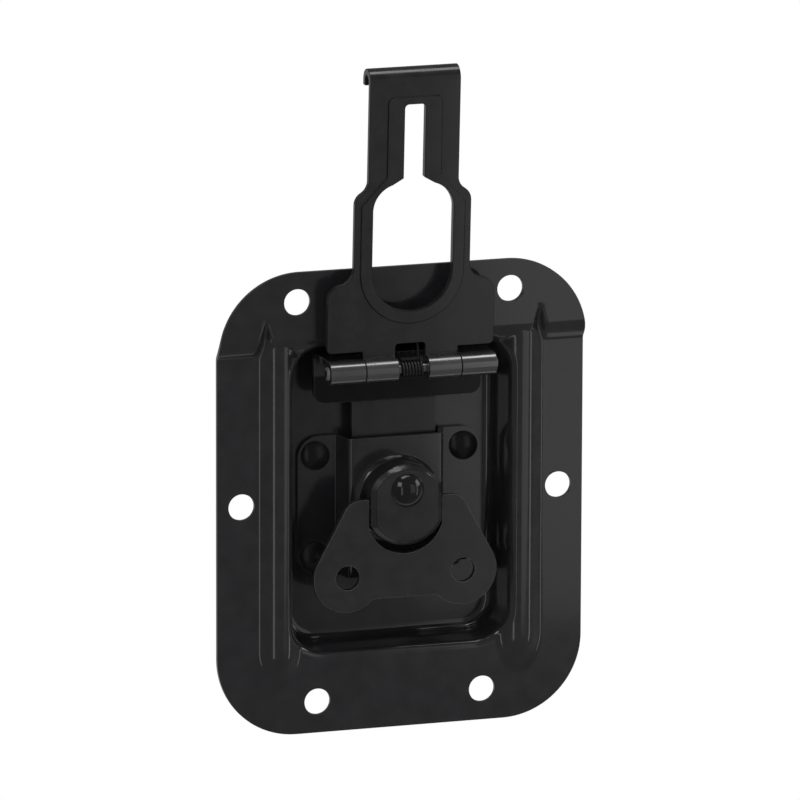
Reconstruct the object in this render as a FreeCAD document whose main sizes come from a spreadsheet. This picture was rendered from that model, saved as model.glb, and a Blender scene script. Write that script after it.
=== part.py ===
import FreeCAD, Part
import math
import os
import Sketcher

# Recessed butterfly latch for a travelling case: a pressed dish, a rotary hub with a folding
# butterfly handle, a drawbar behind a riveted bridge, and a sprung hook plate on a hinge pin.
# X runs to the right, Z up and Y into the case, so the front faces look along -Y.
# The origin is the centre of the dish on the plane where its flange bears on the case.
# Heights named "front", "face" or "depth" below are measured from that plane towards the front.

# Sizes in millimetres and degrees, each under the alias that the spreadsheet gives it
SIZES = {
    # pressed dish
    "dish_width": 89.0,
    "dish_height": 110.9,
    "dish_corner": 19.2,
    "dish_sheet": 1.0,
    "joggle_level": 36.0,
    "joggle_rise": 2.3,
    "joggle_crest_bend": 1.4,
    "joggle_foot_bend": 0.7,
    "rib_spacing": 60.0,
    "rib_width": 8.9,
    "rib_rise": 2.25,
    "rib_foot_level": -42.3,
    "recess_width": 52.6,
    "recess_top": 37.0,
    "recess_bottom": -36.3,
    "recess_corner": 8.0,
    "recess_depth": 10.0,
    "recess_draft": 6.0,
    "floor_bend": 2.2,
    "screw_hole": 6.3,
    "top_hole_spacing": 51.7,
    "top_hole_level": 48.4,
    "middle_hole_inset": 5.9,
    "bottom_hole_spacing": 40.3,
    "bottom_hole_level": -48.0,
    # bridge over the drawbar
    "bridge_width": 44.6,
    "bridge_top": 13.5,
    "bridge_bottom": -19.8,
    "bridge_sheet": 1.2,
    "bridge_corner": 5.0,
    "bridge_channel": 23.0,
    "bridge_wall_draft": 16.0,
    "bridge_bend": 1.5,
    "boss_width": 20.8,
    "boss_cavity_width": 18.8,
    "boss_face_front": -0.5,
    "boss_rise": 1.9,
    "boss_step": 0.5,
    "boss_bend": 0.8,
    "rivet_side_inset": 4.2,
    "rivet_end_inset": 4.6,
    "rivet_shank": 4.0,
    "rivet_head": 7.2,
    "rivet_head_height": 1.0,
    "rivet_crown": 4.8,
    "rivet_tail": 6.0,
    "rivet_tail_height": 0.8,
    "fit_play": 0.05,
    "cut_margin": 1.0,
    "joint_root": 0.5,
    # drawbar
    "bar_sheet": 1.5,
    "bar_width": 20.3,
    "bar_gap": 0.3,
    "bar_foot": -13.0,
    "bar_head_side": 0.3,
    "bar_head_foot": 22.8,
    "bar_head_joggle": 2.9,
    "bar_head_corner": 2.6,
    "bar_joggle_slope": 1.7,
    "bar_joggle_start": 0.8,
    "bar_joggle_shift": 0.9,
    "bar_bend": 2.0,
    "bar_slot_play": 0.95,
    "bar_slot_end_play": 0.3,
    "bar_slot_flat": 0.5,
    "shelf_gap": 3.2,
    # hinge of the hook
    "pin_level": 32.4,
    "pin_front": 9.1,
    "pin_width": 2.3,
    "pin_end_width": 3.2,
    "pin_end_length": 0.7,
    "pin_play": 0.05,
    "knuckle_span": 40.0,
    "knuckle_split": 23.5,
    "knuckle_gap": 0.4,
    "spring_room": 7.2,
    # hook plate
    "hook_sheet": 1.5,
    "hook_lean": 3.2,
    "hook_foot": 4.3,
    "hook_base_side": 0.2,
    "hook_base_top": 17.0,
    "hook_waist_width": 28.1,
    "hook_waist_foot": 24.0,
    "hook_waist_top": 39.3,
    "hook_neck_width": 21.8,
    "hook_neck_foot": 44.9,
    "hook_tip": 68.2,
    "hook_curl": 2.9,
    "hook_curl_leg": 1.4,
    "hook_notch_top": 5.7,
    "hook_notch_corner": 0.8,
    "hook_base_corner": 1.2,
    "eye_width": 19.4,
    "eye_centre": 23.1,
    "eye_shoulder_foot": 38.0,
    "eye_shoulder_bend": 6.5,
    "eye_shoulder_width": 10.2,
    "eye_shoulder_top": 43.9,
    "slot_foot": 45.4,
    "slot_width": 5.0,
    "slot_top": 62.9,
    "slot_corner": 1.0,
    "rim_eye_width": 25.0,
    "rim_eye_top": 39.2,
    "rim_slot_width": 13.0,
    "rim_slot_foot": 45.7,
    "rim_slot_top": 64.7,
    "rim_slot_corner": 1.5,
    "rim_rise": 0.35,
    # torsion spring
    "spring_wire": 0.6,
    "spring_leg_width": 0.576,
    "spring_coils": 8.0,
    "spring_play": 0.25,
    "spring_pitch": 0.7,
    "spring_rest_behind": 0.85,
    "spring_rest_above": 0.06,
    "spring_hook_leg": 4.5,
    "spring_shelf_leg": 2.2,
    # rotor
    "rotor_level": -1.0,
    "rotor_width": 19.4,
    "rotor_flat_width": 17.3,
    "rotor_front": 6.6,
    "rotor_edge": 1.1,
    "journal_width": 16.0,
    "journal_play": 0.08,
    "collar_width": 18.0,
    "running_play": 0.1,
    "crank_throw": 3.65,
    "crank_pin_width": 4.0,
    "crank_head_width": 8.1,
    "crank_head_height": 1.7,
    "crank_head_crown": 2.8,
    "crank_head_shoulder": 6.2,
    "crank_washer_width": 7.0,
    "crank_washer_sheet": 0.8,
    "crank_tail_width": 5.2,
    "crank_tail_height": 0.6,
    # butterfly handle
    "handle_sheet": 1.5,
    "handle_gap": 0.25,
    "handle_play": 0.3,
    "handle_shoulder": 1.6,
    "handle_flank_lean": 28.4,
    "handle_hole_spacing": 28.1,
    "handle_hole_drop": 16.75,
    "handle_hole": 5.9,
    "handle_lobe": 8.2,
    "handle_shoulder_bend": 4.2,
    "handle_waist_drop": 22.2,
    "handle_waist_width": 13.6,
    "handle_cutout_drop": 2.5,
    "handle_cutout_width": 18.6,
    "ear_width": 1.3,
    "ear_reach": 2.6,
    "ear_play": 0.08,
}

document = FreeCAD.newDocument("ButterflyLatch")
sheet = document.addObject("Spreadsheet::Sheet", "Dimensions")
for row, (alias, number) in enumerate(SIZES.items(), start=1):
    sheet.set(f"A{row}", alias)
    sheet.set(f"B{row}", str(number))
    sheet.setAlias(f"B{row}", alias)
document.recompute()


class Size:
    """A length or angle with its number and the formula that binds it to the spreadsheet."""

    def __init__(self, number, formula):
        self.number = number
        self.formula = formula

    @staticmethod
    def of(other):
        if isinstance(other, Size):
            return other
        return Size(float(other), repr(float(other)))

    def __add__(self, other):
        other = Size.of(other)
        return Size(self.number + other.number, f"({self.formula} + {other.formula})")

    def __sub__(self, other):
        other = Size.of(other)
        return Size(self.number - other.number, f"({self.formula} - {other.formula})")

    def __mul__(self, other):
        other = Size.of(other)
        return Size(self.number * other.number, f"({self.formula} * {other.formula})")

    def __truediv__(self, other):
        other = Size.of(other)
        return Size(self.number / other.number, f"({self.formula} / {other.formula})")

    def __neg__(self):
        return Size(-self.number, f"(-1 * {self.formula})")


def size(alias):
    """The size that a cell of the spreadsheet holds."""
    return Size(float(sheet.get(alias)), f"Dimensions.{alias}")


def tangent(angle):
    """The tangent of an angle in degrees."""
    return Size(math.tan(math.radians(angle.number)), f"tan({angle.formula} * 1 deg)")


def cosine(angle):
    """The cosine of an angle in degrees."""
    return Size(math.cos(math.radians(angle.number)), f"cos({angle.formula} * 1 deg)")


def sine(angle):
    """The sine of an angle in degrees."""
    return Size(math.sin(math.radians(angle.number)), f"sin({angle.formula} * 1 deg)")


def root(value):
    """The square root of a product of two lengths."""
    return Size(math.sqrt(value.number), f"sqrt({value.formula})")


def bind(item, name, value):
    """Binds one property of an object to the spreadsheet."""
    item.setExpression(name, Size.of(value).formula)


def new_body(name):
    """A body named for the piece that it makes."""
    body = document.addObject("PartDesign::Body", name)
    body.Label = name
    return body


def sketch_on(body, name, role, height=None):
    """A sketch on one of the body's own planes, raised from it by a height."""
    sketch = body.newObject("Sketcher::SketchObject", name)
    plane = next(f for f in body.Origin.OriginFeatures if f.Role == role)
    sketch.AttachmentSupport = [(plane, "")]
    sketch.MapMode = "FlatFace"
    if height is not None:
        bind(sketch, "AttachmentOffset.Base.z", height)
    return sketch


def place_point(sketch, geometry, end, x, y):
    """Fixes a point of a sketch at a place given by two sizes."""
    for kind, value in (("DistanceX", Size.of(x)), ("DistanceY", Size.of(y))):
        constraint = Sketcher.Constraint(kind, -1, 1, geometry, end, value.number)
        index = sketch.addConstraint(constraint)
        sketch.setExpression(f"Constraints[{index}]", value.formula)


def arc_between(start, end, radius, turn):
    """The shorter arc from start to end, turning left for a turn of 1 and right for -1."""
    chord = end - start
    middle = start + chord * 0.5
    rise = math.sqrt(max(radius**2 - (chord.Length / 2) ** 2, 0.0))
    side = FreeCAD.Vector(-chord.y, chord.x, 0).normalize() * turn
    top = middle + side * rise - side * radius
    return Part.Arc(start, top, end)


def outline(sketch, corners):
    """A closed outline. Each corner is (x, y) or (x, y, radius, turn), the last two for an arc
    that runs from this corner to the next one."""
    first = sketch.GeometryCount
    points = [FreeCAD.Vector(Size.of(c[0]).number, Size.of(c[1]).number, 0) for c in corners]
    ends = points[1:] + points[:1]
    for corner, start, end in zip(corners, points, ends):
        if len(corner) == 4:
            radius = Size.of(corner[2])
            sketch.addGeometry(arc_between(start, end, radius.number, corner[3]), False)
        else:
            sketch.addGeometry(Part.LineSegment(start, end), False)
    forward = []
    for number, corner in enumerate(corners):
        index = first + number
        geometry = sketch.Geometry[index]
        start_is_first = True
        if len(corner) == 4:
            start_is_first = corner[3] > 0
        forward.append((1, 2) if start_is_first else (2, 1))
    count = len(corners)
    for number in range(count):
        after = (number + 1) % count
        here = (first + number, forward[number][1])
        there = (first + after, forward[after][0])
        sketch.addConstraint(Sketcher.Constraint("Coincident", *here, *there))
    for number, corner in enumerate(corners):
        place_point(sketch, first + number, forward[number][0], corner[0], corner[1])
        if len(corner) == 4:
            radius = Size.of(corner[2])
            constraint = Sketcher.Constraint("Radius", first + number, radius.number)
            index = sketch.addConstraint(constraint)
            sketch.setExpression(f"Constraints[{index}]", radius.formula)


def circle(sketch, x, y, width):
    """A circle of the given width."""
    x, y, width = Size.of(x), Size.of(y), Size.of(width)
    centre = FreeCAD.Vector(x.number, y.number, 0)
    normal = FreeCAD.Vector(0, 0, 1)
    index = sketch.addGeometry(Part.Circle(centre, normal, width.number / 2), False)
    place_point(sketch, index, 3, x, y)
    diameter = sketch.addConstraint(Sketcher.Constraint("Diameter", index, width.number))
    sketch.setExpression(f"Constraints[{diameter}]", width.formula)


def rounded_rectangle(left, right, bottom, top, radius):
    """The corners of a rectangle whose four corners are quarter circles."""
    return [
        (left + radius, bottom),
        (right - radius, bottom, radius, 1),
        (right, bottom + radius),
        (right, top - radius, radius, 1),
        (right - radius, top),
        (left + radius, top, radius, 1),
        (left, top - radius),
        (left, bottom + radius, radius, 1),
    ]


def feature(body, kind, name, sketch, length=None, both=False, taper=None, reverse=False):
    """A pad or pocket of a sketch."""
    made = body.newObject(f"PartDesign::{kind}", name)
    made.Profile = sketch
    made.Reversed = reverse
    if both:
        made.SideType = "Symmetric"
    if length is not None:
        bind(made, "Length", length)
    if taper is not None:
        bind(made, "TaperAngle", taper)
    sketch.Visibility = False
    document.recompute()
    return made


def round_edges(body, name, radius, wanted, kind="Fillet"):
    """Rounds the edges of the body that the test picks."""
    base = body.Tip
    names = [f"Edge{i}" for i, edge in enumerate(base.Shape.Edges, start=1) if wanted(edge)]
    if not names:
        raise ValueError(f"no edge for {name}")
    made = body.newObject(f"PartDesign::{kind}", name)
    made.Base = (base, names)
    bind(made, "Radius" if kind == "Fillet" else "Size", radius)
    document.recompute()
    return made


def flat_level(edge, z):
    """Whether an edge lies in the plane at the given Z."""
    box = edge.BoundBox
    return abs(box.ZMin - z) < 0.01 and abs(box.ZMax - z) < 0.01


def flat_at(edge, y):
    """Whether an edge lies in the plane at the given Y."""
    box = edge.BoundBox
    return abs(box.YMin - y) < 0.01 and abs(box.YMax - y) < 0.01


# Levels that several pieces share, measured from the mounting plane towards the front
dish_sheet = size("dish_sheet")
flange_face = dish_sheet
crest_face = dish_sheet + size("joggle_rise")
floor_face = dish_sheet - size("recess_depth")
floor_back = floor_face - dish_sheet
bridge_foot_face = floor_face + size("bridge_sheet")
handle_back = crest_face + size("handle_gap")
handle_front = handle_back + size("handle_sheet")
handle_axis = handle_back + size("handle_sheet") / 2
rotor_front = size("rotor_front")
rotor_level = size("rotor_level")

# A cut runs past the solid that it opens, and a joined solid is rooted in its neighbour
past = size("cut_margin")
rooted = size("joint_root")


def dish_block(name, skin):
    """The solid behind one skin of the dish. The front skin is at 0 and the back skin lies
    one sheet thickness behind it, so the pressed sheet is the first block less the second."""
    body = new_body(name)
    margin = skin * 2
    half_width = size("dish_width") / 2 + margin
    half_height = size("dish_height") / 2 + margin
    deep = floor_back - past * 2 - skin
    corner = size("dish_corner") + margin
    crest = crest_face - skin
    flange = flange_face - skin

    plate = sketch_on(body, f"{name}_plate", "XZ_Plane", deep)
    outline(plate, rounded_rectangle(-half_width, half_width, -half_height, half_height, corner))
    feature(body, "Pad", f"{name}_plate_pad", plate, crest - deep)

    # below the joggle the flange lies one joggle rise behind the raised top
    lower = sketch_on(body, f"{name}_lower", "XZ_Plane", crest)
    joggle = size("joggle_level") + skin
    outline(lower, [
        (-half_width - past, -half_height - past),
        (half_width + past, -half_height - past),
        (half_width + past, joggle),
        (-half_width - past, joggle),
    ])
    feature(body, "Pocket", f"{name}_lower_pocket", lower, size("joggle_rise"))

    # the joggle's crest is rounded on the outside of the bend, and its foot on the inside
    joggle_z = joggle.number

    def joggle_edge(y):
        return lambda edge: flat_at(edge, y) and flat_level(edge, joggle_z)

    round_edges(body, f"{name}_crest_bend", size("joggle_crest_bend") - skin,
                joggle_edge(-crest.number))
    round_edges(body, f"{name}_foot_bend", size("joggle_foot_bend") + skin,
                joggle_edge(-flange.number))

    # each rib is a low round ridge with a ball end, and runs up into the raised top
    half_rib = size("rib_width") / 2
    rib_rise = size("rib_rise")
    arch = (half_rib * half_rib + rib_rise * rib_rise) / (rib_rise * 2)
    arch_level = flange_face + rib_rise - arch
    arch_radius = arch - skin
    above = flange - arch_level
    half_arch = root(arch_radius * arch_radius - above * above)
    rib_foot = size("rib_foot_level") + half_rib
    rib_top = joggle + size("joggle_crest_bend") + rooted
    root_depth = -flange + rooted
    for side, label in ((-1, "left"), (1, "right")):
        middle = size("rib_spacing") / 2 * side
        rib = sketch_on(body, f"{name}_{label}_rib", "XY_Plane", rib_foot)
        outline(rib, [
            (middle - half_arch, root_depth),
            (middle + half_arch, root_depth),
            (middle + half_arch, -flange, arch_radius, -1),
            (middle - half_arch, -flange),
        ])
        feature(body, "Pad", f"{name}_{label}_rib_pad", rib, rib_top - rib_foot)
        ball = sketch_on(body, f"{name}_{label}_rib_end", "XY_Plane", rib_foot)
        outline(ball, [
            (middle, root_depth),
            (middle + half_arch, root_depth),
            (middle + half_arch, -flange, arch_radius, -1),
            (middle, -(arch_level + arch_radius)),
        ])
        turned = body.newObject("PartDesign::Revolution", f"{name}_{label}_rib_ball")
        turned.Profile = ball
        turned.ReferenceAxis = (ball, ["Edge4"])
        turned.Angle = 360.0
        document.recompute()

    # the recess narrows by its draft down to the floor
    draft = tangent(size("recess_draft"))
    mouth = crest + past
    spread = (mouth - flange_face) * draft + skin / cosine(size("recess_draft"))
    half_recess = size("recess_width") / 2 + spread
    low = size("recess_bottom") - spread
    high = size("recess_top") + spread
    recess = sketch_on(body, f"{name}_recess", "XZ_Plane", mouth)
    outline(recess, rounded_rectangle(-half_recess, half_recess, low, high,
                                      size("recess_corner") + spread))
    feature(body, "Pocket", f"{name}_recess_pocket", recess, mouth - floor_face + skin,
            taper=-size("recess_draft"))

    floor_y = -(floor_face - skin).number
    round_edges(body, f"{name}_floor_bend", size("floor_bend") + skin,
                lambda edge: flat_at(edge, floor_y))
    return body


def drill(body, name, places, width, front, depth):
    """Round holes through a body, cut backwards from a height."""
    holes = sketch_on(body, f"{name}_sketch", "XZ_Plane", front)
    for x, z in places:
        circle(holes, x, z, width)
    feature(body, "Pocket", name, holes, depth)


half_rivets = size("bridge_width") / 2 - size("rivet_side_inset")
rivet_levels = {
    "top": size("bridge_top") - size("rivet_end_inset"),
    "bottom": size("bridge_bottom") + size("rivet_end_inset"),
}


def rivet_positions():
    """The centres of the four rivets."""
    return [(half_rivets * side, rivet_levels[end]) for side in (-1, 1) for end in ("top", "bottom")]


rivet_bore = size("rivet_shank") + size("fit_play") * 2


def build_dish():
    """The pressed dish: a front skin less a back skin, with its screw and rivet holes."""
    front = dish_block("dish_front", size("dish_sheet") * 0)
    back = dish_block("dish_back", size("dish_sheet"))
    half_middle = size("dish_width") / 2 - size("middle_hole_inset")
    places = []
    for half, level in ((size("top_hole_spacing") / 2, size("top_hole_level")),
                        (half_middle, Size.of(0)),
                        (size("bottom_hole_spacing") / 2, size("bottom_hole_level"))):
        places += [(-half, level), (half, level)]
    through = crest_face - floor_back + 4
    drill(front, "dish_screw_holes", places, size("screw_hole"), crest_face + past, through)
    drill(front, "dish_rivet_holes", rivet_positions(), rivet_bore, crest_face + past, through)
    dish = document.addObject("Part::Cut", "dish")
    dish.Base = front
    dish.Tool = back
    dish.Refine = True
    document.recompute()
    return dish


def at_corner(edge, x, z, reach=0.05):
    """Whether a straight edge along Y stands at a corner seen from the front."""
    box = edge.BoundBox
    return (abs(abs(box.Center.x) - x) < reach and abs(box.Center.z - z) < reach
            and box.XLength < 0.01 and box.ZLength < 0.01)


def runs_along(edge, axis, first, second, reach=0.02):
    """Whether an edge runs along one axis at a place given by its other two coordinates."""
    box = edge.BoundBox
    spans = {"x": box.XLength, "z": box.ZLength}
    flat = {"x": (box.YLength, box.ZLength), "z": (box.XLength, box.YLength)}
    if spans[axis] < 0.2 or max(flat[axis]) > 0.01:
        return False
    centre = box.Center
    place = (centre.y, centre.z) if axis == "x" else (abs(centre.x), centre.y)
    return abs(place[0] - first) < reach and abs(place[1] - second) < reach


bridge_face = size("boss_face_front") - size("boss_rise")


def build_bridge():
    """The bridge: a hat section over the drawbar with a drawn boss that carries the rotor."""
    body = new_body("bridge_plate")
    sheet_size = size("bridge_sheet")
    lean = tangent(size("bridge_wall_draft"))
    bottom = size("bridge_bottom")
    tall = size("bridge_top") - bottom
    half = size("bridge_width") / 2
    face = size("bridge_channel") / 2
    foot = face + (bridge_face - bridge_foot_face) * lean
    slant = sheet_size / cosine(size("bridge_wall_draft"))
    inner_face = face - slant + sheet_size * lean
    inner_foot = foot - slant + sheet_size * lean
    section = sketch_on(body, "bridge_section", "XY_Plane", bottom)
    outline(section, [
        (-half, -floor_face),
        (-inner_foot, -floor_face),
        (-inner_face, -(bridge_face - sheet_size)),
        (inner_face, -(bridge_face - sheet_size)),
        (inner_foot, -floor_face),
        (half, -floor_face),
        (half, -bridge_foot_face),
        (foot, -bridge_foot_face),
        (face, -bridge_face),
        (-face, -bridge_face),
        (-foot, -bridge_foot_face),
        (-half, -bridge_foot_face),
    ])
    feature(body, "Pad", "bridge_hat", section, tall)
    outer = size("bridge_bend")
    inner = size("bridge_bend") - sheet_size
    spots = [
        (face.number, -bridge_face.number, outer),
        (inner_foot.number, -floor_face.number, outer),
        (inner_face.number, -(bridge_face - sheet_size).number, inner),
        (foot.number, -bridge_foot_face.number, inner),
    ]
    for number, (x, y, radius) in enumerate(spots):
        round_edges(body, f"bridge_bend_{number}", radius,
                    lambda edge: runs_along(edge, "z", x, y, 0.05))
    corner_spots = [bottom.number, size("bridge_top").number]
    round_edges(body, "bridge_corners", size("bridge_corner"),
                lambda edge: any(at_corner(edge, half.number, z) for z in corner_spots))

    # the boss is drawn forward round the rotor's journal
    boss_front = size("boss_face_front")
    boss = sketch_on(body, "boss_ring", "XZ_Plane", bridge_face - sheet_size)
    circle(boss, 0, rotor_level, size("boss_width"))
    feature(body, "Pad", "boss_ring_pad", boss, size("boss_rise") + sheet_size)
    round_edges(body, "boss_bevel", size("boss_bend"),
                lambda edge: flat_at(edge, -boss_front.number), "Chamfer")
    cavity_front = boss_front - sheet_size
    cavity_back = bridge_face - sheet_size - 1
    cavity = sketch_on(body, "boss_cavity", "XZ_Plane", cavity_front)
    circle(cavity, 0, rotor_level, size("boss_cavity_width"))
    feature(body, "Pocket", "boss_cavity_pocket", cavity, cavity_front - cavity_back)
    bore = size("journal_width") + size("journal_play") * 2
    drill(body, "boss_bore", [(Size.of(0), rotor_level)], bore, boss_front + past,
          sheet_size + past * 2)
    drill(body, "bridge_rivet_holes", rivet_positions(), rivet_bore, bridge_foot_face + past,
          sheet_size + past * 2)
    return body


def build_rivets():
    """Four rivets that hold the bridge to the dish's floor, their tails peened behind it."""
    back = floor_back
    tail_back = back - size("rivet_tail_height")
    shank = size("rivet_shank") / 2
    head = size("rivet_head") / 2
    tail = size("rivet_tail") / 2
    crown = bridge_foot_face + size("rivet_head_height")
    edge = size("rivet_head_height") / 2
    first = new_body("rivet_master")
    half = sketch_on(first, "rivet_section", "XY_Plane")
    outline(half, [
        (Size.of(0), -tail_back),
        (Size.of(0), -crown),
        (size("rivet_crown") / 2, -crown),
        (head, -crown + edge),
        (head, -bridge_foot_face),
        (shank, -bridge_foot_face),
        (shank, -back),
        (tail, -back),
        (tail, -tail_back),
    ])
    made = first.newObject("PartDesign::Revolution", "rivet_turn")
    made.Profile = half
    made.ReferenceAxis = (half, ["V_Axis"])
    made.Angle = 360.0
    document.recompute()
    links = []
    for number, (x, z) in enumerate(rivet_positions()):
        copy = document.addObject("Part::Feature", f"rivet_{number}")
        moved = first.Shape.copy()
        moved.translate(FreeCAD.Vector(x.number, 0, z.number))
        copy.Shape = moved
        links.append(copy)
    group = document.addObject("Part::Compound", "bridge_rivets")
    group.Links = links
    document.recompute()
    return group


bar_front = bridge_face - size("bridge_sheet") - size("bar_gap") - size("boss_step")
bar_back = bar_front - size("bar_sheet")
head_front = bar_front + size("bar_head_joggle")
head_back = head_front - size("bar_sheet")
pin_bore = size("pin_width") / 2 + size("pin_play")
knuckle_wall = size("bar_sheet")
knuckle = pin_bore + knuckle_wall
pin_front = size("pin_front")
pin_level = size("pin_level")
shelf_top = pin_level + knuckle
shelf_foot = pin_level + pin_bore
notch_edge = pin_front - knuckle - size("shelf_gap")


def ring(body, name, start, end, fixed_y, fixed_z):
    """A rolled knuckle about the hinge axis between two places along it."""
    rolled = sketch_on(body, name, "YZ_Plane", start)
    circle(rolled, fixed_y, fixed_z, knuckle * 2)
    feature(body, "Pad", f"{name}_pad", rolled, end - start)


def bore_knuckles(body, name, fixed_y, fixed_z):
    """The hinge pin's bore through every knuckle of a body."""
    reach = size("knuckle_span") / 2 + past
    hole = sketch_on(body, name, "YZ_Plane", reach)
    circle(hole, fixed_y, fixed_z, pin_bore * 2)
    feature(body, "Pocket", f"{name}_pocket", hole, reach * 2)


def build_drawbar():
    """The drawbar: stem with a cross slot, joggled head, shelf and two rolled knuckles."""
    body = new_body("drawbar")
    half_stem = size("bar_width") / 2
    half_head = size("knuckle_span") / 2 + size("bar_head_side")
    rise = size("bar_joggle_slope")
    joggle_front = size("bar_head_foot") + size("bar_joggle_start")
    joggle_back = joggle_front + size("bar_joggle_shift")
    stem = sketch_on(body, "bar_stem", "YZ_Plane", -half_stem)
    outline(stem, [
        (-bar_back, size("bar_foot")),
        (-bar_back, joggle_back - rise),
        (-head_back, joggle_back),
        (-head_back, shelf_foot),
        (-head_front, shelf_foot),
        (-head_front, joggle_front),
        (-bar_front, joggle_front - rise),
        (-bar_front, size("bar_foot")),
    ])
    feature(body, "Pad", "bar_stem_pad", stem, half_stem * 2)
    head = sketch_on(body, "bar_head", "YZ_Plane", -half_head)
    outline(head, [
        (-head_back, size("bar_head_foot")),
        (-head_back, shelf_top),
        (-notch_edge, shelf_top),
        (-notch_edge, shelf_foot),
        (-head_front, shelf_foot),
        (-head_front, size("bar_head_foot")),
    ])
    feature(body, "Pad", "bar_head_pad", head, half_head * 2)
    round_edges(body, "bar_shelf_bend", size("bar_bend"),
                lambda edge: runs_along(edge, "x", -head_back.number, shelf_top.number))
    round_edges(body, "bar_shelf_inner_bend", size("bar_bend") - size("bar_sheet"),
                lambda edge: runs_along(edge, "x", -head_front.number, shelf_foot.number))
    round_edges(body, "bar_head_corners", size("bar_head_corner"),
                lambda edge: at_corner(edge, half_head.number, size("bar_head_foot").number))
    split = size("knuckle_split") / 2
    outside = size("knuckle_span") / 2
    for side, start, end in (("left", -outside, -split), ("right", split, outside)):
        strap = sketch_on(body, f"bar_{side}_strap", "YZ_Plane", start)
        outline(strap, [
            (-pin_front, shelf_foot),
            (-notch_edge + rooted, shelf_foot),
            (-notch_edge + rooted, shelf_top),
            (-pin_front, shelf_top),
        ])
        feature(body, "Pad", f"bar_{side}_strap_pad", strap, end - start)
        ring(body, f"bar_{side}_knuckle", start, end, -pin_front, pin_level)
    bore_knuckles(body, "bar_pin_bore", -pin_front, pin_level)

    # the crank pin crosses this slot from the middle to one side while the rotor turns
    half_high = size("crank_pin_width") / 2 + size("bar_slot_play")
    half_long = size("crank_throw") + size("crank_pin_width") / 2 + size("bar_slot_end_play")
    centre = rotor_level + size("crank_throw")
    slot = sketch_on(body, "bar_slot", "XZ_Plane", bar_front + past)
    outline(slot, rounded_rectangle(-half_long, half_long, centre - half_high,
                                    centre + half_high, half_high - size("bar_slot_flat")))
    feature(body, "Pocket", "bar_slot_pocket", slot, size("bar_sheet") + past * 2)
    return body


def build_pin():
    """The hinge pin with its two staked ends."""
    pin = new_body("hinge_pin")
    half = size("knuckle_span") / 2 + size("fit_play")
    end = half + size("pin_end_length")
    shank = size("pin_width") / 2
    head = size("pin_end_width") / 2
    round_off = size("pin_end_length") / 2
    section = sketch_on(pin, "pin_section", "XY_Plane", pin_level)
    axis = -pin_front
    outline(section, [
        (-end, axis),
        (end, axis),
        (end, axis + head - round_off),
        (end - round_off, axis + head),
        (half, axis + head),
        (half, axis + shank),
        (-half, axis + shank),
        (-half, axis + head),
        (-end + round_off, axis + head),
        (-end, axis + head - round_off),
    ])
    made = pin.newObject("PartDesign::Revolution", "pin_turn")
    made.Profile = section
    made.ReferenceAxis = (section, ["Edge1"])
    made.Angle = 360.0
    document.recompute()
    return pin


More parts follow.
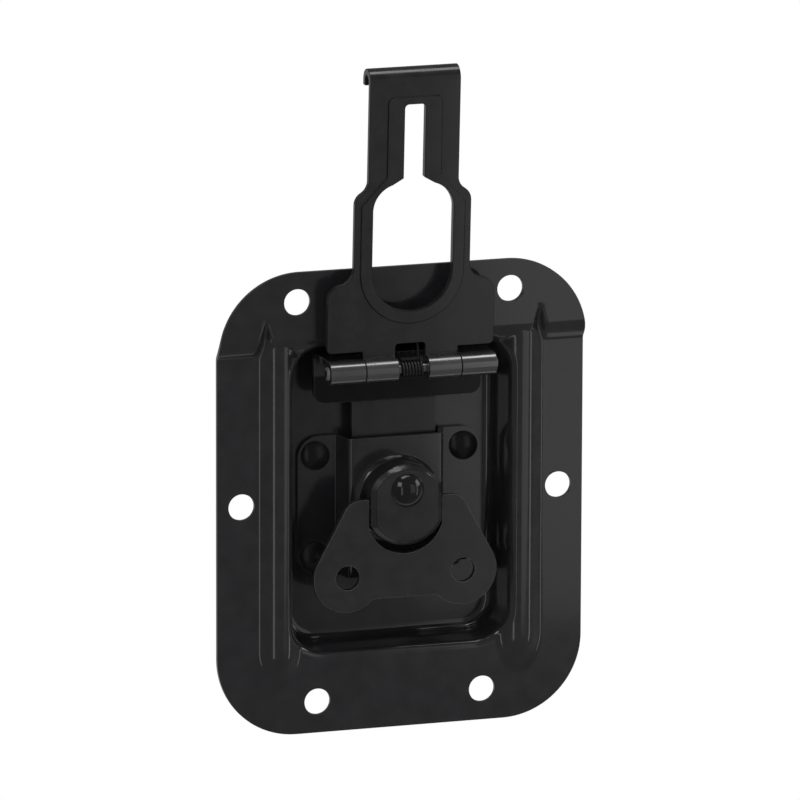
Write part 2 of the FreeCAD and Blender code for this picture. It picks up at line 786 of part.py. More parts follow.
def build_hook():
    """The hook plate with its knuckles, pierced eye and slot, raised rim and curled lip. It is
    drawn about the hinge axis and then leans forward with it."""
    body = new_body("hook_plate")
    inner = pin_bore
    outer = pin_bore + size("hook_sheet")
    split = size("knuckle_split") / 2 - size("knuckle_gap") / 2
    room = size("spring_room") / 2
    base = size("knuckle_span") / 2 + size("hook_base_side")
    waist = size("hook_waist_width") / 2
    neck = size("hook_neck_width") / 2
    base_top = size("hook_base_top")
    waist_foot = size("hook_waist_foot")
    waist_top = size("hook_waist_top")
    neck_foot = size("hook_neck_foot")
    tip = size("hook_tip")

    def blend(wide, narrow, low, high):
        across = wide - narrow
        along = high - low
        radius = (across * across + along * along) / (across * 4)
        return radius, (wide + narrow) / 2, (low + high) / 2

    first, first_x, first_z = blend(base, waist, base_top, waist_foot)
    second, second_x, second_z = blend(waist, neck, waist_top, neck_foot)
    foot = size("hook_foot")
    plate = sketch_on(body, "hook_outline", "XZ_Plane", -outer)
    corner = size("hook_base_corner")
    right = [
        (split, Size.of(0)),
        (split, foot),
        (base - corner, foot, corner, 1),
        (base, foot + corner),
        (base, base_top, first, 1),
        (first_x, first_z, first, -1),
        (waist, waist_foot),
        (waist, waist_top, second, 1),
        (second_x, second_z, second, -1),
        (neck, neck_foot),
        (neck, tip),
    ]
    left = [
        (-neck, tip),
        (-neck, neck_foot, second, -1),
        (-second_x, second_z, second, 1),
        (-waist, waist_top),
        (-waist, waist_foot, first, -1),
        (-first_x, first_z, first, 1),
        (-base, base_top),
        (-base, foot + corner, corner, 1),
        (-base + corner, foot),
        (-split, foot),
        (-split, Size.of(0)),
    ]
    outline(plate, right + left)
    feature(body, "Pad", "hook_plate_pad", plate, size("hook_sheet"))
    rim = sketch_on(body, "hook_rim", "XZ_Plane", -outer)
    rim_eye = size("rim_eye_width") / 2
    rim_slot = size("rim_slot_width") / 2
    rim_corner = size("rim_slot_corner")
    centre = size("eye_centre")
    outline(rim, [
        (-rim_eye, centre, rim_eye, 1),
        (Size.of(0), centre - rim_eye, rim_eye, 1),
        (rim_eye, centre),
        (rim_eye, size("rim_eye_top")),
        (rim_slot, size("rim_slot_foot")),
        (rim_slot, size("rim_slot_top") - rim_corner, rim_corner, 1),
        (rim_slot - rim_corner, size("rim_slot_top")),
        (-rim_slot + rim_corner, size("rim_slot_top"), rim_corner, 1),
        (-rim_slot, size("rim_slot_top") - rim_corner),
        (-rim_slot, size("rim_slot_foot")),
        (-rim_eye, size("rim_eye_top")),
    ])
    feature(body, "Pad", "hook_rim_pad", rim, size("hook_sheet") + size("rim_rise"))
    for side, start, end in (("left", -split, -room), ("right", room, split)):
        ring(body, f"hook_{side}_knuckle", start, end, Size.of(0), Size.of(0))
    bore_knuckles(body, "hook_pin_bore", Size.of(0), Size.of(0))

    # between the knuckles the notch leaves room for the spring
    cut = sketch_on(body, "hook_notch", "XZ_Plane", outer + past)
    notch_corner = size("hook_notch_corner")
    top = size("hook_notch_top")
    outline(cut, [
        (-room, -outer - past),
        (room, -outer - past),
        (room, top - notch_corner, notch_corner, 1),
        (room - notch_corner, top),
        (-room + notch_corner, top, notch_corner, 1),
        (-room, top - notch_corner),
    ])
    feature(body, "Pocket", "hook_notch_pocket", cut, (outer + past) * 2)
    eye = size("eye_width") / 2
    bend = size("eye_shoulder_bend")
    shoulder = size("eye_shoulder_width") / 2
    slot_half = size("slot_width") / 2
    slot_top = size("slot_top")
    slot_corner = size("slot_corner")
    opening = sketch_on(body, "hook_eye", "XZ_Plane", Size.of(0))
    outline(opening, [
        (-eye, centre, eye, 1),
        (Size.of(0), centre - eye, eye, 1),
        (eye, centre),
        (eye, size("eye_shoulder_foot"), bend, 1),
        (shoulder, size("eye_shoulder_top")),
        (slot_half, size("slot_foot")),
        (slot_half, slot_top - slot_corner, slot_corner, 1),
        (slot_half - slot_corner, slot_top),
        (-slot_half + slot_corner, slot_top, slot_corner, 1),
        (-slot_half, slot_top - slot_corner),
        (-slot_half, size("slot_foot")),
        (-shoulder, size("eye_shoulder_top"), bend, 1),
        (-eye, size("eye_shoulder_foot")),
    ])
    feature(body, "Pocket", "hook_eye_pocket", opening, outer + past)

    # the lip curls back over the top
    curl = size("hook_curl")
    small = curl - size("hook_sheet")
    middle = inner + curl
    leg = size("hook_curl_leg")
    lip = sketch_on(body, "hook_lip", "YZ_Plane", -neck)
    outline(lip, [
        (inner, tip - past),
        (outer, tip - past),
        (outer, tip, small, -1),
        (middle, tip + small, small, -1),
        (middle + small, tip),
        (middle + small, tip - leg),
        (middle + curl, tip - leg),
        (middle + curl, tip, curl, 1),
        (middle, tip + curl, curl, 1),
        (inner, tip),
    ])
    feature(body, "Pad", "hook_lip_pad", lip, neck * 2)
    body.Placement = FreeCAD.Placement(
        FreeCAD.Vector(0, -pin_front.number, pin_level.number),
        FreeCAD.Rotation(FreeCAD.Vector(1, 0, 0), size("hook_lean").number),
    )
    bind(body, "Placement.Base.y", -pin_front)
    bind(body, "Placement.Base.z", pin_level)
    document.recompute()
    return body


def build_spring():
    """The torsion spring: closed coils about the pin, one leg behind the hook plate and one on
    the drawbar's shelf. The coils are turned as one ridged sleeve."""
    body = new_body("hook_spring")
    wire = size("spring_wire")
    pitch = size("spring_pitch")
    inner = size("pin_width") / 2 + size("spring_play")
    coil = inner + wire / 2
    count = round(size("spring_coils").number)
    section = sketch_on(body, "spring_section", "XY_Plane")
    corners = [(pitch * (count / 2), inner), (pitch * (count / 2), coil)]
    for number in range(count):
        x = pitch * (count / 2 - number - 0.5)
        corners.append((x, coil + wire / 2))
        if number < count - 1:
            corners.append((x - pitch / 2, coil))
    corners += [(pitch * (-count / 2), coil), (pitch * (-count / 2), inner)]
    outline(section, corners)
    made = body.newObject("PartDesign::Revolution", "spring_turn")
    made.Profile = section
    made.ReferenceAxis = (section, ["H_Axis"])
    made.Angle = 360.0
    document.recompute()

    # each leg leaves the coils on a tangent
    behind = pin_bore + size("hook_sheet") + size("spring_rest_behind")
    spots = [
        ("hook", behind, size("hook_notch_top") + wire, -1, size("spring_hook_leg"), 1),
        ("shelf", pin_front - notch_edge, knuckle + wire / 2 + size("spring_rest_above"), 1, size("spring_shelf_leg"), -1),
    ]
    far_coil = pitch * (count / 2 - 0.5)
    for label, away, up, side, extra, end in spots:
        far = math.hypot(away.number, up.number)
        turn = math.atan2(up.number, away.number) + side * math.acos(coil.number / far)
        reach = math.sqrt(far**2 - coil.number**2) + extra.number
        leg = body.newObject("PartDesign::AdditiveCylinder", f"spring_{label}_leg")
        bind(leg, "Radius", size("spring_leg_width") / 2)
        leg.Height = reach
        touch = FreeCAD.Vector(far_coil.number * end, coil.number * math.cos(turn),
                               coil.number * math.sin(turn))
        way = FreeCAD.Vector(0, math.sin(turn) * side, -math.cos(turn) * side)
        leg.Placement = FreeCAD.Placement(touch, FreeCAD.Rotation(FreeCAD.Vector(0, 0, 1), way))
        document.recompute()
    body.Placement = FreeCAD.Placement(
        FreeCAD.Vector(0, -pin_front.number, pin_level.number), FreeCAD.Rotation())
    bind(body, "Placement.Base.y", -pin_front)
    bind(body, "Placement.Base.z", pin_level)
    document.recompute()
    return body


def build_rotor():
    """The rotor hub: a flatted head for the handle, a journal in the boss and a collar."""
    body = new_body("rotor_hub")
    radius = size("rotor_width") / 2
    flat = size("rotor_flat_width") / 2
    chord = root(radius * radius - flat * flat)
    head_back_face = size("boss_face_front") + size("handle_play")
    journal_back = size("boss_face_front") - size("bridge_sheet") - size("running_play")
    collar_back = bar_front + size("bar_gap")
    level = rotor_level
    bevel_back = rotor_front - size("rotor_edge")
    flatted = [
        (-flat, level - chord, radius, 1),
        (Size.of(0), level - radius, radius, 1),
        (flat, level - chord),
        (flat, level + chord, radius, 1),
        (Size.of(0), level + radius, radius, 1),
        (-flat, level + chord),
    ]
    head = sketch_on(body, "rotor_head", "XZ_Plane", head_back_face)
    outline(head, flatted)
    feature(body, "Pad", "rotor_head_pad", head, bevel_back - head_back_face)
    edge = sketch_on(body, "rotor_edge_outline", "XZ_Plane", bevel_back)
    outline(edge, flatted)
    feature(body, "Pad", "rotor_edge_bevel", edge, size("rotor_edge"), taper=Size.of(-45))
    journal = sketch_on(body, "rotor_journal", "XZ_Plane", journal_back)
    circle(journal, 0, level, size("journal_width"))
    feature(body, "Pad", "rotor_journal_pad", journal, head_back_face - journal_back)
    collar = sketch_on(body, "rotor_collar", "XZ_Plane", collar_back)
    circle(collar, 0, level, size("collar_width"))
    feature(body, "Pad", "rotor_collar_pad", collar, journal_back - collar_back)
    pin_place = [(Size.of(0), level + size("crank_throw"))]
    drill(body, "rotor_pin_bore", pin_place, size("crank_pin_width") + size("fit_play") * 2,
          rotor_front + past, rotor_front - collar_back + past * 2)
    ear_bore = size("ear_width") + size("ear_play") * 2
    ear_depth = size("ear_reach") + size("handle_play")
    for side, label in ((-1, "left"), (1, "right")):
        hole = sketch_on(body, f"rotor_{label}_ear", "YZ_Plane", flat * side)
        circle(hole, -handle_axis, level, ear_bore)
        feature(body, "Pocket", f"rotor_{label}_ear_bore", hole, ear_depth, reverse=side < 0)
    return body


washer_front = bar_back - size("bar_gap")
washer_back = washer_front - size("crank_washer_sheet")
crank_level = rotor_level + size("crank_throw")


def turned_piece(name, corners):
    """A piece turned about the crank pin's axis from half of its section."""
    body = new_body(name)
    section = sketch_on(body, f"{name}_section", "XY_Plane", crank_level)
    outline(section, corners)
    made = body.newObject("PartDesign::Revolution", f"{name}_turn")
    made.Profile = section
    made.ReferenceAxis = (section, ["V_Axis"])
    made.Angle = 360.0
    document.recompute()
    return body


def build_crank_pin():
    """The crank pin: a low crowned head on the hub, and a tail peened behind the washer."""
    shank = size("crank_pin_width") / 2
    head = size("crank_head_width") / 2
    edge = size("crank_head_height") / 2
    crown = rotor_front + size("crank_head_height")
    low = rotor_front + edge
    dome = (head * head + edge * edge) / (edge * 2)
    shoulder = size("crank_head_shoulder") / 2
    shoulder_front = crown - dome + root(dome * dome - shoulder * shoulder)
    tail = size("crank_tail_width") / 2
    tail_back = washer_back - size("crank_tail_height")
    return turned_piece("crank_pin", [
        (Size.of(0), -tail_back),
        (Size.of(0), -crown),
        (size("crank_head_crown") / 2, -crown),
        (shoulder, -shoulder_front),
        (head, -low),
        (head, -rotor_front),
        (shank, -rotor_front),
        (shank, -washer_back),
        (tail, -washer_back),
        (tail, -tail_back),
    ])


def build_crank_washer():
    """The washer that keeps the drawbar on the crank pin."""
    bore = size("crank_pin_width") / 2 + size("fit_play")
    rim = size("crank_washer_width") / 2
    return turned_piece("crank_washer", [
        (bore, -washer_back),
        (bore, -washer_front),
        (rim, -washer_front),
        (rim, -washer_back),
    ])


def build_handle():
    """The butterfly handle: a flat blank with two lobes, and ears that pivot in the hub."""
    body = new_body("butterfly_handle")
    axis = rotor_level
    lobe = size("handle_lobe")
    lobe_x = size("handle_hole_spacing") / 2
    lobe_z = axis - size("handle_hole_drop")
    lean = size("handle_flank_lean")
    across, along = cosine(lean), sine(lean)
    bend = size("handle_shoulder_bend")
    top = axis + size("handle_shoulder")
    flank_x = lobe_x + lobe * across
    flank_z = lobe_z + lobe * along
    run = (top - bend - lobe_z - (lobe - bend) * along) / across
    shoulder_x = flank_x - run * along
    shoulder_z = flank_z + run * across
    top_x = shoulder_x - bend * across
    inner = size("rotor_flat_width") / 2 + size("handle_play")
    cut = size("handle_cutout_width") / 2
    cut_z = axis - size("handle_cutout_drop")
    cut_end = cut_z - root(cut * cut - inner * inner)
    waist_z = axis - size("handle_waist_drop")
    waist_x = size("handle_waist_width") / 2
    step = lobe_x - waist_x
    low = size("handle_waist_drop") - size("handle_hole_drop")
    blend = (step * step + low * low - lobe * lobe) / ((lobe - low) * 2)
    reach = lobe + blend
    meet_x = lobe_x - step * lobe / reach
    meet_z = lobe_z - (low + blend) * lobe / reach
    blank = sketch_on(body, "handle_outline", "XZ_Plane", handle_back)
    lobe_bottom = lobe_z - lobe
    outline(blank, [
        (-waist_x, waist_z),
        (waist_x, waist_z, blend, -1),
        (meet_x, meet_z, lobe, 1),
        (lobe_x, lobe_bottom, lobe, 1),
        (flank_x, flank_z),
        (shoulder_x, shoulder_z, bend, 1),
        (top_x, top),
        (inner, top),
        (inner, cut_end, cut, -1),
        (Size.of(0), cut_z - cut, cut, -1),
        (-inner, cut_end),
        (-inner, top),
        (-top_x, top, bend, 1),
        (-shoulder_x, shoulder_z),
        (-flank_x, flank_z, lobe, 1),
        (-lobe_x, lobe_bottom, lobe, 1),
        (-meet_x, meet_z, blend, -1),
    ])
    feature(body, "Pad", "handle_pad", blank, size("handle_sheet"))
    drill(body, "handle_holes", [(lobe_x, lobe_z), (-lobe_x, lobe_z)], size("handle_hole"),
          handle_front + past, size("handle_sheet") + past * 2)
    ear_end = size("rotor_flat_width") / 2 - size("ear_reach")
    for side, label in ((-1, "left"), (1, "right")):
        start = ear_end if side > 0 else -(inner + past)
        ear = sketch_on(body, f"handle_{label}_ear", "YZ_Plane", start)
        circle(ear, -handle_axis, axis, size("ear_width"))
        feature(body, "Pad", f"handle_{label}_ear_pad", ear, inner + past - ear_end)
    return body


pieces = [
    build_dish(),
    build_bridge(),
    build_rivets(),
    build_drawbar(),
    build_pin(),
    build_hook(),
    build_spring(),
    build_rotor(),
    build_crank_pin(),
    build_crank_washer(),
    build_handle(),
]
for piece in pieces:
    piece.Visibility = True
document.recompute()

for item in document.Objects:
    if "Invalid" in item.State or "Error" in item.State:
        raise RuntimeError(f"{item.Label} did not build")
for piece in pieces:
    if piece.Shape.isNull() or not piece.Shape.isValid() or not piece.Shape.Solids:
        raise RuntimeError(f"{piece.Label} has no valid solid")

os.makedirs("parts", exist_ok=True)
for piece in pieces:
    piece.Shape.exportStep(f"parts/{piece.Label}.step")
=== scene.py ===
import math

import bmesh
import bpy
import numpy as np
from mathutils import Matrix, Vector


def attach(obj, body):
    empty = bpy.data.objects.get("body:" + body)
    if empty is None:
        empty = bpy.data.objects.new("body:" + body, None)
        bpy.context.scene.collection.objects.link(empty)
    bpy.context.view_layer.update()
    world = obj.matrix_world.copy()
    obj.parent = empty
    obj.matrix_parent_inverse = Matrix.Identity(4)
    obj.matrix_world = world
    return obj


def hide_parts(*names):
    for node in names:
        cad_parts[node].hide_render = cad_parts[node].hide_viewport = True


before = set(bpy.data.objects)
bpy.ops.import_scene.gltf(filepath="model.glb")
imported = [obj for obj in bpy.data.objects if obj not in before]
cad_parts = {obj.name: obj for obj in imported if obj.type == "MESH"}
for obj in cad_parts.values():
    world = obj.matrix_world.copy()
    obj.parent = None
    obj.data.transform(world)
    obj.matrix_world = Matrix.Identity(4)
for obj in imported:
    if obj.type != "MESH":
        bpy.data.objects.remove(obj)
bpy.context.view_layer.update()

MM = 0.001

# All sizes are in millimetres, as on the solids: x to the right, z upwards, and heights
# forwards from the mounting plane.
sheet = 1.0
half_width, half_height, corner = 44.5, 55.45, 19.2
mouth_half, mouth_bottom, mouth_top, mouth_corner = 26.3, -36.3, 37.0, 8.0
mouth_rounding, wall_draft_degrees, floor_bend, floor_level = 1.5, 6, 2.2, -9.0
# the ribs: middle line, half width at the foot, flank slope, rise, and where the end begins
rib_line, rib_half, rib_slope, rib_rise, rib_end = 29.4, 5.1, 0.64, 2.25, -35.0
# the low end's stretch, and where and by how much a rib sinks and then fades in the raised top
rib_end_stretch, rib_sink, sink_from, sink_to = 0.62, 0.35, 35.5, 39.0
fade_from, fade_length, fade_depth = 43.0, 4.0, 3.0
# the joggle, and the dent on each rib's outer side
joggle_foot, joggle_slope, joggle_rise = 35.3, 0.8, 2.3
dent_foot, dent_length, dent_line, dent_half, dent_tip = 35.0, 9.5, 33.2, 3.0, 0.4
# the width of each parabola: at a rib's crest, the joggle's foot and top, and where they meet
crest_blend, foot_blend, top_blend, meeting_blend = 0.8, 0.35, 1.6, 0.45
screw_places, screw_hole = ((25.85, 48.4), (38.6, 0.0), (20.15, -48.0)), 6.3
rivet_across, rivet_levels, rivet_hole = 18.1, (8.9, -15.2), 4.1
crank_level = 2.65
hinge_front, hinge_level, knuckle_radius = 9.1, 32.4, 3.0
spring_wire, spring_coil, spring_half, spring_turns = 0.6, 1.7, 2.45, 7
# what each spring leg points at, back and up from the pin's axis, and how far it runs past
hook_leg, shelf_leg = (3.55, 6.3, 4.5), (5.9, 3.06, 2.2)
# the coat's pattern: soft clouds and the grain of the cold rolled sheet, both as so many to
# a metre, and how high the grain stands under the film
clouds, grains, ripple_height = 240.0, 2600.0, 0.02
# pale steel round rolled knuckles, part wear and part painted sheen, and how strongly film and
# steel mirror
rubbed_steel, film_index, steel_index = "#232325", 1.5, 2.3
# the heights between which the drawbar's head lies in the shade of the hinge
hinge_shade = (22.0, 29.2)


def linear(hex_colour):
    """An sRGB hex colour as linear RGBA: the power law of sRGB, channel by channel."""
    code = hex_colour.lstrip("#")
    channels = [int(code[i:i + 2], 16) / 255 for i in (0, 2, 4)]
    values = [c / 12.92 if c <= 0.04045 else ((c + 0.055) / 1.055) ** 2.4 for c in channels]
    return (*values, 1.0)


def add(tree, kind, settings=None, inputs=None, links=None):
    """Adds one node with its settings, socket values and incoming links."""
    node = tree.nodes.new(kind)
    for name, value in (settings or {}).items():
        setattr(node, name, value)
    for name, value in (inputs or {}).items():
        node.inputs[name].default_value = value
    for name, source in (links or {}).items():
        tree.links.new(source, node.inputs[name])
    return node


def new_material(name):
    """An empty material with its node tree."""
    material = bpy.data.materials.new(name)
    material.use_nodes = True
    material.node_tree.nodes.clear()
    return material, material.node_tree


def black_coat(name, dark, pale, rough, ripple, coat, rubbed=None, painted_shade_heights=None, shine=0.5):
    """Black electrophoretic coat on pressed steel: a thin hard film, glossy, with a faint ripple
    from the grain of the steel under it, cloudy patches and a fine mottle. An axis along X (its
    y, z and reach in mm), if given, turns the base round it to pale steel that mirrors more:
    part wear from rolling and part painted sheen. Two heights, if given, put painted shade
    between them: a darker base and a lower specular."""
    material, tree = new_material(name)
    place = add(tree, "ShaderNodeTexCoord")
    cloud = add(tree, "ShaderNodeTexNoise", inputs={"Scale": clouds, "Detail": 4.0},
                links={"Vector": place.outputs["Object"]})
    grain = add(tree, "ShaderNodeTexNoise", inputs={"Scale": grains, "Detail": 2.0},
                links={"Vector": place.outputs["Object"]})
    mottle = add(tree, "ShaderNodeMath", {"operation": "MULTIPLY_ADD"}, {1: 0.3},
                 {0: grain.outputs["Fac"], 2: cloud.outputs["Fac"]})
    colour = add(tree, "ShaderNodeValToRGB", links={"Fac": mottle.outputs["Value"]})
    for element, position, shade in zip(colour.color_ramp.elements, (0.45, 0.85), (dark, pale)):
        element.position = position
        element.color = linear(shade)
    gloss = add(tree, "ShaderNodeMapRange",
                inputs={"From Min": 0.3, "From Max": 0.7, "To Min": rough * 0.8,
                        "To Max": rough * 1.2},
                links={"Value": cloud.outputs["Fac"]})
    bump = add(tree, "ShaderNodeBump",
               inputs={"Strength": ripple, "Distance": ripple_height * MM},
               links={"Height": grain.outputs["Fac"]})
    surface = add(tree, "ShaderNodeBsdfPrincipled",
                  inputs={"IOR": film_index, "Specular IOR Level": shine, "Coat Weight": coat,
                          "Coat Roughness": 0.06},
                  links={"Base Color": colour.outputs["Color"],
                         "Roughness": gloss.outputs["Result"],
                         "Normal": bump.outputs["Normal"]})
    parts = add(tree, "ShaderNodeSeparateXYZ", links={"Vector": place.outputs["Object"]})
    painted = colour.outputs["Color"]
    # pale steel round the axis: part wear, part painted sheen
    if rubbed:
        y, z, reach = (value * MM for value in rubbed)
        across = add(tree, "ShaderNodeCombineXYZ",
                     links={"Y": parts.outputs["Y"], "Z": parts.outputs["Z"]})
        away = add(tree, "ShaderNodeVectorMath", {"operation": "DISTANCE"},
                   {1: (0.0, y, z)}, {0: across.outputs["Vector"]})
        wear_sheen_mask = add(tree, "ShaderNodeMapRange",
                   inputs={"From Min": reach, "From Max": reach * 1.12, "To Min": 1.0,
                           "To Max": 0.0},
                   links={"Value": away.outputs["Value"]})
        # the film alone mirrors as a lacquer does, and the steel under it much more
        mirror = add(tree, "ShaderNodeMapRange",
                     inputs={"To Min": film_index, "To Max": steel_index},
                     links={"Value": wear_sheen_mask.outputs["Result"]})
        steel = add(tree, "ShaderNodeMix", {"data_type": "RGBA"}, {7: linear(rubbed_steel)},
                    {0: wear_sheen_mask.outputs["Result"], 6: painted})
        painted = steel.outputs[2]
        tree.links.new(painted, surface.inputs["Base Color"])
        tree.links.new(mirror.outputs["Result"], surface.inputs["IOR"])
    # painted shade: a darker base and a lower specular between two heights
    if painted_shade_heights:
        low, high = (value * MM for value in painted_shade_heights)
        half = (high - low) / 2
        offset = add(tree, "ShaderNodeMath", {"operation": "SUBTRACT"}, {1: (low + high) / 2},
                     {0: parts.outputs["Z"]})
        height = add(tree, "ShaderNodeMath", {"operation": "ABSOLUTE"},
                     links={0: offset.outputs["Value"]})
        level = add(tree, "ShaderNodeMapRange",
                    inputs={"From Min": half, "From Max": half * 1.1, "To Min": 0.3,
                            "To Max": 1.0},
                    links={"Value": height.outputs["Value"]})
        shaded = add(tree, "ShaderNodeVectorMath", {"operation": "SCALE"},
                     links={0: painted, "Scale": level.outputs["Result"]})
        shade_specular = add(tree, "ShaderNodeMath", {"operation": "MULTIPLY"}, {1: 0.5},
                      {0: level.outputs["Result"]})
        tree.links.new(shaded.outputs["Vector"], surface.inputs["Base Color"])
        tree.links.new(shade_specular.outputs["Value"], surface.inputs["Specular IOR Level"])
    add(tree, "ShaderNodeOutputMaterial", links={"Surface": surface.outputs["BSDF"]})
    return material


hinge_axis = (-hinge_front, hinge_level, knuckle_radius)
# pressed dish and bridge: the glossiest film, so flat faces shade softly from dark to pale
pressed_black = black_coat("pressed_sheet_black_coat", "#19191b", "#1f1f21", 0.15, 0.25, 0.45)
# hook plate: a satin film, with pale steel round its knuckles, part wear from rolling and part
# painted sheen
hook_black = black_coat("hook_plate_black_coat", "#141415", "#1b1b1c", 0.25, 0.3, 0.3, hinge_axis)
# butterfly handle: the flattest film, an even grey black
handle_black = black_coat("handle_black_coat", "#18181a", "#1f1f20", 0.32, 0.2, 0.2)
# rotor hub and washer: a satin film whose round flanks show soft bright patches
hub_black = black_coat("hub_black_coat", "#141415", "#1d1d1e", 0.24, 0.3, 0.3)
# drawbar and hinge pin: satin, pale steel on the knuckles, part wear and part painted sheen,
# and painted shade where the head lies under the hinge
bar_black = black_coat("drawbar_black_coat", "#151516", "#1c1c1d", 0.2, 0.3, 0.2, hinge_axis,
                       hinge_shade)
# rivet heads: near black discs
rivet_black = black_coat("rivet_head_black_gloss", "#101011", "#151516", 0.26, 0.15, 0.0,
                         shine=0.25)
# spring wire: an oxide finish, dull and darkest of all
spring_black = black_coat("spring_wire_black_oxide", "#0a0a0b", "#101011", 0.35, 0.2, 0.0)
# the crank pin's head: polished by use, with small sharp lights
pin_black = black_coat("polished_black_pin", "#0e0e0f", "#131314", 0.12, 0.15, 0.1, shine=0.4)
# edges where the film has worn thin, so the grey of the steel shows a little
# edges in pale grey: part wear of the film, and part painted highlight where rounded edges catch
# the light
wear_and_highlight_edges = black_coat("edge_coat_wear_and_painted_highlight", "#464648", "#565658", 0.3, 0.2, 0.2)
# painted highlight: the handle's rounded edges as thin pale lines
painted_highlight_edges = black_coat("rubbed_handle_edge", "#666668", "#7a7a7c", 0.35, 0.2, 0.1)
# painted shade: the edges of the hook plate and the hub as thin near black lines
painted_shade_edges = black_coat("edge_coat_painted_shade", "#0a0a0b", "#101011", 0.4, 0.2, 0.0, shine=0.3)

edge_coats = {"hook_plate": painted_shade_edges, "rotor_hub": painted_shade_edges,
              "butterfly_handle": painted_highlight_edges}

coats = {
    "dish": pressed_black,
    "bridge_plate": pressed_black,
    "bridge_rivets": rivet_black,
    "drawbar": bar_black,
    "hinge_pin": bar_black,
    "hook_spring": spring_black,
    "hook_plate": hook_black,
    "rotor_hub": hub_black,
    "crank_pin": pin_black,
    "crank_washer": hub_black,
    "butterfly_handle": handle_black,
}


def round_edges(piece, edge_mm, angle, weighting):
    """Bevels each edge sharper than the angle, in the piece's second material, and keeps the
    large faces flat."""
    bevel = piece.modifiers.new("edge_round", "BEVEL")
    bevel.width = edge_mm * MM
    bevel.segments = 3
    bevel.material = 1
    bevel.limit_method = "ANGLE"
    bevel.angle_limit = math.radians(angle)
    weighted = piece.modifiers.new("flat_faces", "WEIGHTED_NORMAL")
    weighted.mode = weighting
    weighted.weight = 50


def softened(node, body, edge_mm):
    """A copy of a CAD node whose loose triangles are merged into faces, with every sharp edge
    rounded by the small radius that pressing and coating leave."""
    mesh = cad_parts[node].data.copy()
    mesh.name = f"{node}_coated"
    work = bmesh.new()
    work.from_mesh(mesh)
    bmesh.ops.remove_doubles(work, verts=work.verts, dist=0.002 * MM)
    bmesh.ops.dissolve_degenerate(work, edges=work.edges, dist=0.001 * MM)
    bmesh.ops.dissolve_limit(work, angle_limit=math.radians(0.6), verts=work.verts,
                             edges=work.edges)
    work.to_mesh(mesh)
    work.free()
    mesh.shade_smooth()
    piece = bpy.data.objects.new(f"{node}_coated", mesh)
    bpy.context.scene.collection.objects.link(piece)
    mesh.materials.clear()
    mesh.materials.append(coats[node])
    # the rounded edges take the second material: painted shade, painted highlight, or wear with
    # painted highlight
    mesh.materials.append(edge_coats.get(node, wear_and_highlight_edges))
    round_edges(piece, edge_mm, 32, "FACE_AREA")
    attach(piece, body)
    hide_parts(node)


def closed_piece(name, points, faces, material):
    """A mesh object at the origin from points in millimetres, its faces turned outwards."""
    mesh = bpy.data.meshes.new(name)
    mesh.from_pydata((np.asarray(points) * MM).tolist(), [], faces)
    work = bmesh.new()
    work.from_mesh(mesh)
    bmesh.ops.remove_doubles(work, verts=work.verts, dist=0.001 * MM)
    bmesh.ops.recalc_face_normals(work, faces=work.faces)
    work.to_mesh(mesh)
    work.free()
    mesh.materials.append(material)
    mesh.shade_smooth()
    piece = bpy.data.objects.new(name, mesh)
    bpy.context.scene.collection.objects.link(piece)
    return piece


def grid_faces(rings, around, first=0):
    """Quads between neighbouring rings of points, each ring closed on itself."""
    ring, spoke = np.meshgrid(np.arange(rings - 1), np.arange(around), indexing="ij")
    after = (spoke + 1) % around
    quads = np.stack([ring * around + spoke, ring * around + after,
                      (ring + 1) * around + after, (ring + 1) * around + spoke], axis=-1)
    return (quads.reshape(-1, 4) + first).tolist()


def smooth_max(first, second, blend_mm):
    """The larger of two heights, with a parabola of the blend's width where they cross."""
    near = np.clip(blend_mm - np.abs(first - second), 0, None) / blend_mm
    return np.maximum(first, second) + near ** 2 * blend_mm / 4


def smooth_min(first, second, blend_mm):
    """The smaller of two heights, with a parabola of the blend's width where they cross."""
    return -smooth_max(-first, -second, blend_mm)


def smooth_step(low, high, value):
    """The cubic that leaves 0 and reaches 1 with no slope between two values."""
    t = np.clip((value - low) / (high - low), 0, 1)
    return t * t * (3 - 2 * t)


def dish_height(x, z):
    """The dish's front surface above the mounting plane: one sheet thickness, plus the larger
    of the joggle and the ribs. A rib is a ramp on each side of its middle line under a level
    top, with a long rounded end below. It goes over into the raised top, where it sinks by a
    little and then fades. The joggle is a ramp in z, less a dent beside each rib that narrows
    and rises to nothing upwards. Every corner is eased by a parabola."""
    flat = np.zeros_like(x)
    away = np.hypot(np.abs(x) - rib_line, rib_end_stretch * np.minimum(z - rib_end, 0))
    ridge = smooth_min((rib_half - away) * rib_slope, flat + rib_rise, crest_blend)
    ridge = ridge - rib_sink * smooth_step(sink_from, sink_to, z)
    ridge = ridge - fade_depth * np.clip((z - fade_from) / fade_length, 0, 1) ** 2
    ramp = smooth_max((z - joggle_foot) * joggle_slope, flat, foot_blend)
    joggle = smooth_min(ramp, flat + joggle_rise, top_blend)
    risen = np.clip((z - dent_foot) / dent_length, 0, 1)
    beside = np.abs(np.abs(x) - dent_line) / (dent_half * (1 - risen) + dent_tip)
    joggle = joggle * (1 - (1 - risen ** 2) * smooth_step(0, 1, 1 - beside))
    return sheet + smooth_max(joggle, ridge, meeting_blend)


